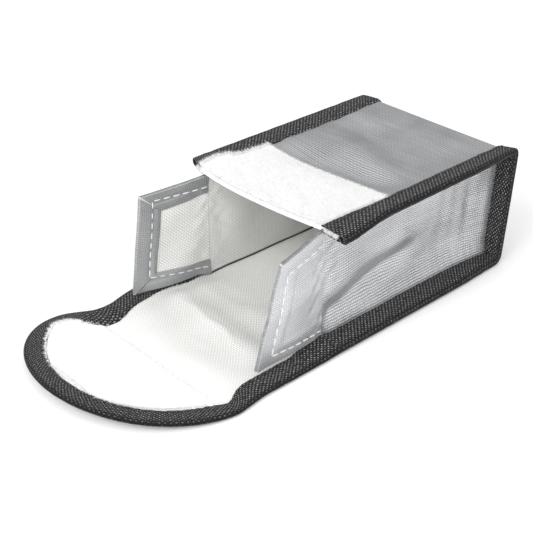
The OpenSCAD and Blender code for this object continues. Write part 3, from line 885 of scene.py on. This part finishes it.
def build_loop_strip():
    g = np.random.default_rng(81)
    thick = 0.9
    half = HALF_W + 0.4
    u, y = np.meshgrid(np.linspace(0, 1, 124), np.linspace(LIP_Y - 0.6, LOOP_BACK, 70), indexing="ij")
    y0, y1 = y[0, 0], y[0, -1]

    def left_end(row):
        return -half - 2.2 * bell(row - y0 - 8, 7.0) + 0.8 * smooth((row - y0 - 12) / 8)

    x = left_end(y) + (half - left_end(y)) * u
    edge = np.minimum(np.minimum(half - x, x - left_end(y)), np.minimum(y - y0, y1 - y))
    base = top_point(x, y)
    base[..., 2] -= 1.1 * (1 - smooth((y - y0) / 2.4))
    up = pad_rise(edge, thick) + (0.1 * lump(x, y) + 0.12 * lump2(x, y)) * (edge > 0.5)
    parts = Parts()
    slab(parts, base, np.maximum(up, 0.1), 0.02, np.stack([x, y], -1))

    up_axis = np.array([0.0, 0.0, 1.0])
    n = 9000
    ry = g.uniform(y0 + 0.2, y1 - 1.0, n)
    rx = left_end(ry) + 0.3 + (half - left_end(ry) - 0.5) * g.uniform(0, 1, n)
    root = top_point(rx, ry) + up_axis * (thick - 0.1)
    hairs(parts, root, np.tile(up_axis, (n, 1)), 82, (0.5, 1.2), 1.0, 0.05)

    for side, n in ((LEFT, 1100), (RIGHT, 260)):
        ry = y0 + (y1 - y0 - 0.5) * g.uniform(0, 1, n) ** 1.2
        rx = np.where(side == LEFT, left_end(ry) + 0.5, half - 0.5) + g.uniform(-0.5, 0.5, n)
        root = top_point(rx, ry) + up_axis * (thick - 0.2)
        push = np.tile([1.6 * side, 0.0, 0.0], (n, 1))
        hairs(parts, root, np.tile(up_axis, (n, 1)), 83 + side, (0.7, 1.8), 1.3, 0.06, push)
    n = 1100
    for place, sign, seed in ((y0 + 0.3, -1, 85), (y1 - 0.8, 1, 86)):
        rx = left_end(place) + 0.4 + (half - left_end(place) - 0.8) * g.uniform(0, 1, n)
        root = top_point(rx, place + g.uniform(-0.3, 0.3, n)) + up_axis * (thick - 0.25)
        push = np.tile([0.0, 1.2 * sign, 0.0], (n, 1))
        hairs(parts, root, np.tile(up_axis, (n, 1)), seed, (0.4, 1.2), 1.0, 0.05, push)
    for side, first, last, n in ((LEFT, -0.5, 5.0, 300), (RIGHT, 1.5, 7.0, 220)):
        rx = side * (HALF_W + g.uniform(first, last, n))
        ry = g.uniform(LIP_Y - 0.3, LIP_Y + 0.8, n)
        rz = HEIGHT - g.uniform(0.7, 1.8, n)
        root = settle(np.stack([rx, ry, rz], -1))
        push = np.tile([0.6 * side, 0.0, -0.9], (n, 1))
        hairs(parts, root, np.tile([0.0, -1.0, 0.0], (n, 1)), 87 + side, (0.5, 1.5), 1.0, 0.08, push)
    obj = parts.build("loop_strip_pile", LOOP_PILE)
    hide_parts("loop_strip")
    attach(obj, "pouch")

    seam = Parts()
    for y0 in (LIP_Y + 1.6, LOOP_BACK - 0.7):
        cx = np.arange(-HALF_W + 2.5, HALF_W - 2, 3.8)
        c = top_point(cx, np.full(len(cx), y0))
        c[:, 2] += thick - 0.02
        a = top_point(cx + 1, np.full(len(cx), y0)) - top_point(cx - 1, np.full(len(cx), y0))
        stitches(seam, c, a, np.tile([0.0, 0.0, 1.0], (len(cx), 1)), radius=0.22)
    obj = seam.build("loop_strip_stitches", WHITE_THREAD)
    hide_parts("loop_strip_stitching")
    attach(obj, "pouch")


def hook_edges():
    """Left and right edges of the hook patch, as functions of the distance from the mouth."""
    p, inward, width, s = outline_points()
    ragged, fine = waves(95, 3.2, 1), waves(96, 1.3, 1)
    q = p + inward * (width - 0.4 + 0.35 * ragged(s) + 0.3 * fine(s))[:, None]
    q = q[p[:, 1] > TOP_L - 8]
    top = int(np.argmax(q[:, 1]))
    right, left = q[:top + 1], q[top:][::-1]

    def edge(side_points):
        runs = np.maximum.accumulate(side_points[:, 1])
        return lambda l: np.interp(l, runs, side_points[:, 0])

    return edge(left), edge(right), q[top, 1]


def build_hook_patch():
    g = np.random.default_rng(91)
    thick = 0.8
    left, right, tip = hook_edges()
    l0, l1 = TOP_L + 0.3, tip - 0.05
    t = np.linspace(0, 1, 80)
    ls = l0 + (l1 - l0) * np.sin(t * math.pi / 2) ** 1.1
    l, u = np.meshgrid(ls, np.linspace(0, 1, 112), indexing="ij")
    x = left(l) + (right(l) - left(l)) * u
    edge = np.minimum(np.minimum((x - left(l)), right(l) - x), (l1 - l) * 1.2)
    edge = np.minimum(edge, l - l0 + 0.15)

    def ground(gx, gl):
        """Height of the surface the patch is sewn to; its rim laps onto the tape."""
        lap = 1 - smooth(inside_tape(gx, gl) / 1.6)
        return np.maximum(cloth_z(gx, -gl) + LINING_T, 1.05 * lap + 0.9)

    up = pad_rise(edge, thick) + (0.1 * lump(x, l) + 0.12 * lump2(x, l)) * (edge > 0.5)
    base = flap_point(x, l, ground(x, l))
    parts = Parts()
    slab(parts, base, np.maximum(up, 0.1), 0.02, np.stack([x, -l], -1))

    def surface(rx, rl, lift):
        p = flap_point(rx, rl, ground(rx, rl) + lift)
        q = flap_point(rx, rl, ground(rx, rl) + lift + 1)
        return p, unit(q - p)

    def across(rl, share, inset):
        return left(rl) + inset + (right(rl) - left(rl) - 2 * inset) * share

    n = 8000
    rl = g.uniform(l0 + 0.2, l1 - 0.3, n)
    root, normal = surface(across(rl, g.uniform(0, 1, n), 0.3), rl, thick - 0.1)
    hairs(parts, root, normal, 92, (0.4, 0.95), 0.9, 0.055)

    n = 4500
    rl = l0 + (l1 - l0) * g.uniform(0, 1, n) ** 0.55
    rx = across(rl, (g.random(n) < 0.5).astype(float), 0.35)
    root, normal = surface(rx, rl, thick - 0.35 + g.uniform(-0.2, 0.2, n))
    centre = surface(np.zeros(n), np.full(n, TOP_L + 6.0), thick)[0]
    hairs(parts, root, normal, 93, (0.35, 1.3), 1.2, 0.06, unit(root - centre) * 0.9)
    obj = parts.build("hook_patch_pile", HOOK_PILE)
    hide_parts("hook_patch")
    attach(obj, "flap_tongue")

    seam = Parts()
    rl = np.arange(TOP_L + 6, l1 - 4, 3.6)
    for share in (0.0, 1.0):
        root, normal = surface(across(rl, share, 1.7), rl, thick - 0.25)
        ahead, _ = surface(across(rl + 1, share, 1.7), rl + 1, thick - 0.25)
        stitches(seam, root, ahead - root, normal, radius=0.2)
    cx = np.arange(-23.0, 28.0, 3.8)
    root, normal = surface(cx, np.full(len(cx), l0 + 1.3), thick - 0.02)
    stitches(seam, root, np.tile([1.0, 0.0, 0.0], (len(cx), 1)), normal, radius=0.2)
    obj = seam.build("hook_patch_stitches", WHITE_THREAD)
    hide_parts("hook_patch_stitching")
    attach(obj, "flap_tongue")


# ---- ears ----------------------------------------------------------------

# Corners on the flat ear as (distance from the fold, height): low root, low free, high free, high root
EAR_OUTLINE = {
    -1: ((0.0, 2.8), (33.9, 3.0), (28.8, 42.4), (0.0, 44.4)),
    1: ((0.0, 3.0), (34.0, 3.8), (24.6, 42.4), (0.0, 45.2)),
}
EAR_SEAM = {
    -1: ((0.6, 5.4), (27.2, 8.4), (24.0, 40.0), (0.6, 39.8)),
    1: ((0.6, 5.0), (27.2, 7.2), (21.4, 37.6), (0.6, 39.6)),
}
EAR_WINDOW = {
    -1: ((0.4, 8.2), (24.0, 9.6), (20.8, 35.2), (0.4, 37.2)),
    1: ((0.4, 8.4), (23.8, 9.8), (17.4, 34.6), (0.4, 36.8)),
}
HEM_WIDTH = (7.0, 9.3, 7.0)
SEAM_SHARE = (0.6, 0.68, 0.5)

# Outward lean of each ear in degrees: at its foot, and how much more at its top; then its curl in mm
EAR_LEAN = {-1: (9.5, 0.0, -0.5), 1: (4.5, 6.0, 0.9)}

ear_noise = {LEFT: waves(101, 16.0), RIGHT: waves(102, 18.0)}


def ear_place(side, d, z, n):
    """A point on an ear: distance from the fold, height, and distance outwards."""
    low, more, curl = EAR_LEAN[side]
    angle = np.radians(low + more * np.clip(z / HEIGHT, 0, 1))
    bow = 0.5 * ear_noise[side](d, z) * smooth(d / 8) + curl * np.sin(math.pi * np.clip(d / 30, 0, 1))
    n = n + bow + 0.35 * fold_noise(d, z) * smooth(d / 2) * (1 - smooth((d - 3) / 8))
    z = z - 0.9 * (1 - smooth(d / 4)) * (1 - smooth(z / 9))
    x = EAR_X + np.sin(angle) * d + np.cos(angle) * n
    y = -np.cos(angle) * d + np.sin(angle) * n
    return np.stack([x * side, y, z], -1)


def quad_point(corners, p, q):
    """Unit square to a four-cornered shape: p along from the fold, q upwards."""
    a, b, c, d = (np.array(k) for k in corners)
    p, q = p[..., None], q[..., None]
    return (a + (b - a) * p) * (1 - q) + (d + (c - d) * p) * q


def build_ear(side):
    name = "right" if side == RIGHT else "left"
    body = name + "_ear"
    outline, window, seam_line = (np.array(k[side]) for k in (EAR_OUTLINE, EAR_WINDOW, EAR_SEAM))
    p, q = np.meshgrid(np.linspace(0.012, 1, 44), np.linspace(0, 1, 50), indexing="ij")
    flat = quad_point(outline, p, q)
    mid = ear_place(side, flat[..., 0], flat[..., 1], np.zeros(p.shape))
    # Heights are shifted down by 36 mm so that the lining's painted light brightening stays weak over the
    # ear's window.
    uv = np.stack([flat[..., 0], flat[..., 1] - 36.0], -1)
    shell, lining, hem, seam = Parts(), Parts(), Parts(), Parts()

    def to_line(f, a, b):
        t = (b - a) / np.linalg.norm(b - a)
        rel = f - a
        return np.abs(rel[..., 0] * t[1] - rel[..., 1] * t[0]), rel @ t, np.linalg.norm(b - a)

    dimple = np.zeros(p.shape)
    for k in range(3):
        dist, along, run = to_line(flat, seam_line[k], seam_line[k + 1])
        inside = smooth((along + 0.5) / 1.0) * smooth((run - along + 0.5) / 1.0)
        dimple = np.maximum(dimple, bell(dist, 1.1) * inside)
    raise_hem = np.zeros(p.shape)
    for k, w in enumerate(HEM_WIDTH):
        dist, along, run = to_line(flat, outline[k], outline[k + 1])
        raise_hem = np.maximum(raise_hem, 1 - smooth((dist - w + 0.6) / 1.2))
    outside = 0.45 + 0.22 * raise_hem - 0.22 * dimple
    n = grid_normals(mid)
    if n[10, 10, 0] * side < 0:
        n = -n
    flip = (grid_normals(mid)[10, 10, 0] * side) < 0

    def sheet(parts, up, down):
        g, w = mid, uv
        nn, u2, d2 = n, np.broadcast_to(up, p.shape), np.broadcast_to(down, p.shape)
        if flip:
            g, w, nn, u2, d2 = g[::-1], w[::-1], nn[::-1], u2[::-1], d2[::-1]
        slab(parts, g, u2, d2, w, nn)

    sheet(shell, outside, -0.04)
    sheet(lining, -0.06, -0.45)

    for k, width in enumerate(HEM_WIDTH):
        seam_at = width * SEAM_SHARE[k]
        o0, o1, w0, w1 = outline[k], outline[k + 1], window[k], window[k + 1]
        run = np.linalg.norm(o1 - o0)
        count = max(12, int(run / 1.2))
        ts = np.linspace(0, 1, count)
        arc = np.linspace(75, -75, 7) * math.pi / 180
        face_w = np.linspace(0.6, width, 14)
        crown = 0.12 * np.sin(np.linspace(0, 1, 14) * math.pi)
        ws = np.concatenate([[0.9], 0.15 - 0.45 * np.cos(arc), face_w, [width, 0.9]])
        top_n = -1.0 - crown + 0.28 * bell(face_w - seam_at, 0.7)
        top_n[-1] += 0.12
        ns = np.concatenate([[0.5], -0.25 + 0.8 * np.sin(arc), top_n, [-0.48, -0.48]])
        rings, uvs = [], []
        mitre = 0.55
        for t in ts:
            f = ws / width
            start = o0 + (w0 - o0) * np.clip(f, -0.1, 1)[:, None]
            end = o1 + (w1 - o1) * np.clip(f, -0.1, 1)[:, None]
            d = (end - start)
            length = np.linalg.norm(d, axis=1, keepdims=True)
            gap0 = (mitre if k > 0 else 0.0) * (1 - np.clip(f, 0, 1))[:, None]
            gap1 = (mitre if k < 2 else 0.0) * (1 - np.clip(f, 0, 1))[:, None]
            unit_d = d / length
            pos = start + unit_d * (gap0 + t * (length - gap0 - gap1))
            ring = ear_place(side, pos[:, 0], pos[:, 1], ns)
            rings.append(ring)
            uvs.append(np.stack([ws, np.full(len(ws), t * run)], -1))
        rings, uvs = np.array(rings), np.array(uvs)
        if side == LEFT:
            rings, uvs = rings[:, ::-1], uvs[:, ::-1]
        tube(hem, rings, uvs)
        a, b = seam_line[k], seam_line[k + 1]
        run = np.linalg.norm(b - a)
        num = int(run // 3.7)
        at = (np.arange(num) + 0.5) / num
        pts = a + (b - a) * at[:, None]
        middle = np.zeros(num)
        along = ear_place(side, *(pts + (b - a) / run).T, middle) - ear_place(side, *pts.T, middle)
        for level, sign in ((-0.86, -1), (0.47, 1)):
            c = ear_place(side, *pts.T, np.full(num, level))
            nn = unit(ear_place(side, *pts.T, np.full(num, level + sign)) - c)
            stitches(seam, c, along, nn, length=3.1, radius=0.25)
    for parts, label, node, material, slot in (
        (shell, "_shell_cloth", "_shell", EAR_CLOTH, "silver_cloth"),
        (lining, "_lining_cloth", "_lining", LINING, "lining_cloth"),
        (hem, "_hem_cloth", "_hem", HEM, "silver_cloth"),
        (seam, "_stitches", "_stitching", WHITE_THREAD, "white_thread"),
    ):
        obj = parts.build(body + label, material)
        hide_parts(body + node)
        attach(obj, body)
        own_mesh(obj)


# ---- stage, light and camera ---------------------------------------------


def build_stage():
    bpy.ops.mesh.primitive_plane_add(size=6.0, location=(0, 0, -0.0003))
    floor = bpy.context.object
    floor.name = "studio_floor"
    m = Nodes("studio_floor")
    bsdf = m.node("ShaderNodeBsdfPrincipled", {"Base Color": grey(0.95), "Roughness": 0.9,
                                             "Emission Color": grey(1.0), "Emission Strength": 0.08})
    m.node("ShaderNodeOutputMaterial", {0: bsdf.outputs[0]})
    floor.data.materials.append(m.material)

    world = bpy.data.worlds.new("studio")
    world.use_nodes = True
    tree = world.node_tree
    where = tree.nodes.new("ShaderNodeTexCoord")
    facing = tree.nodes.new("ShaderNodeVectorMath")
    facing.operation = "DOT_PRODUCT"
    facing.inputs[1].default_value = (0.55, -0.8, 0.2)
    level = tree.nodes.new("ShaderNodeMapRange")
    for key, value in (("From Min", -0.95), ("From Max", 0.6), ("To Min", 0.36), ("To Max", 1.2)):
        level.inputs[key].default_value = value
    tree.links.new(where.outputs["Generated"], facing.inputs[0])
    tree.links.new(facing.outputs["Value"], level.inputs["Value"])
    seen = tree.nodes.new("ShaderNodeLightPath")
    brighter = tree.nodes.new("ShaderNodeMath")
    brighter.operation = "ADD"
    tree.links.new(level.outputs["Result"], brighter.inputs[0])
    tree.links.new(seen.outputs["Is Camera Ray"], brighter.inputs[1])
    tree.links.new(brighter.outputs[0], tree.nodes["Background"].inputs[1])
    tree.nodes["Background"].inputs[0].default_value = (1, 1, 1, 1)
    bpy.context.scene.world = world

    def area(name, at, target, size, power):
        light = bpy.data.lights.new(name, "AREA")
        light.energy, light.size = power, size
        obj = bpy.data.objects.new(name, light)
        bpy.context.scene.collection.objects.link(obj)
        obj.location = at
        obj.rotation_mode = "QUATERNION"
        obj.rotation_quaternion = (Vector(target) - Vector(at)).to_track_quat("-Z", "Y")

    area("key", (0.15, -0.62, 0.56), (0, 0.0, 0.02), 0.40, 2.8)
    area("side", (0.72, -0.28, 0.24), (0, 0.03, 0.02), 0.45, 1.2)


def build_camera():
    at, target = Vector((0.2468, -0.2256, 0.2110)), Vector((-0.0189, 0.0192, 0.0018))
    camera = bpy.data.cameras.new("camera")
    camera.lens, camera.sensor_width = 70.9, 36.0
    camera.clip_start, camera.clip_end = 0.01, 50.0
    obj = bpy.data.objects.new("camera", camera)
    bpy.context.scene.collection.objects.link(obj)
    obj.location = at
    obj.rotation_mode = "QUATERNION"
    obj.rotation_quaternion = (target - at).to_track_quat("-Z", "Y")
    bpy.context.scene.camera = obj


build_wrap()
build_side(RIGHT)
build_side(LEFT)
build_rim(RIGHT)
build_rim(LEFT)
build_flap()
build_flap_tape()
build_loop_strip()
build_hook_patch()
build_ear(RIGHT)
build_ear(LEFT)
build_stage()
build_camera()
bpy.context.scene.view_settings.view_transform = "Standard"
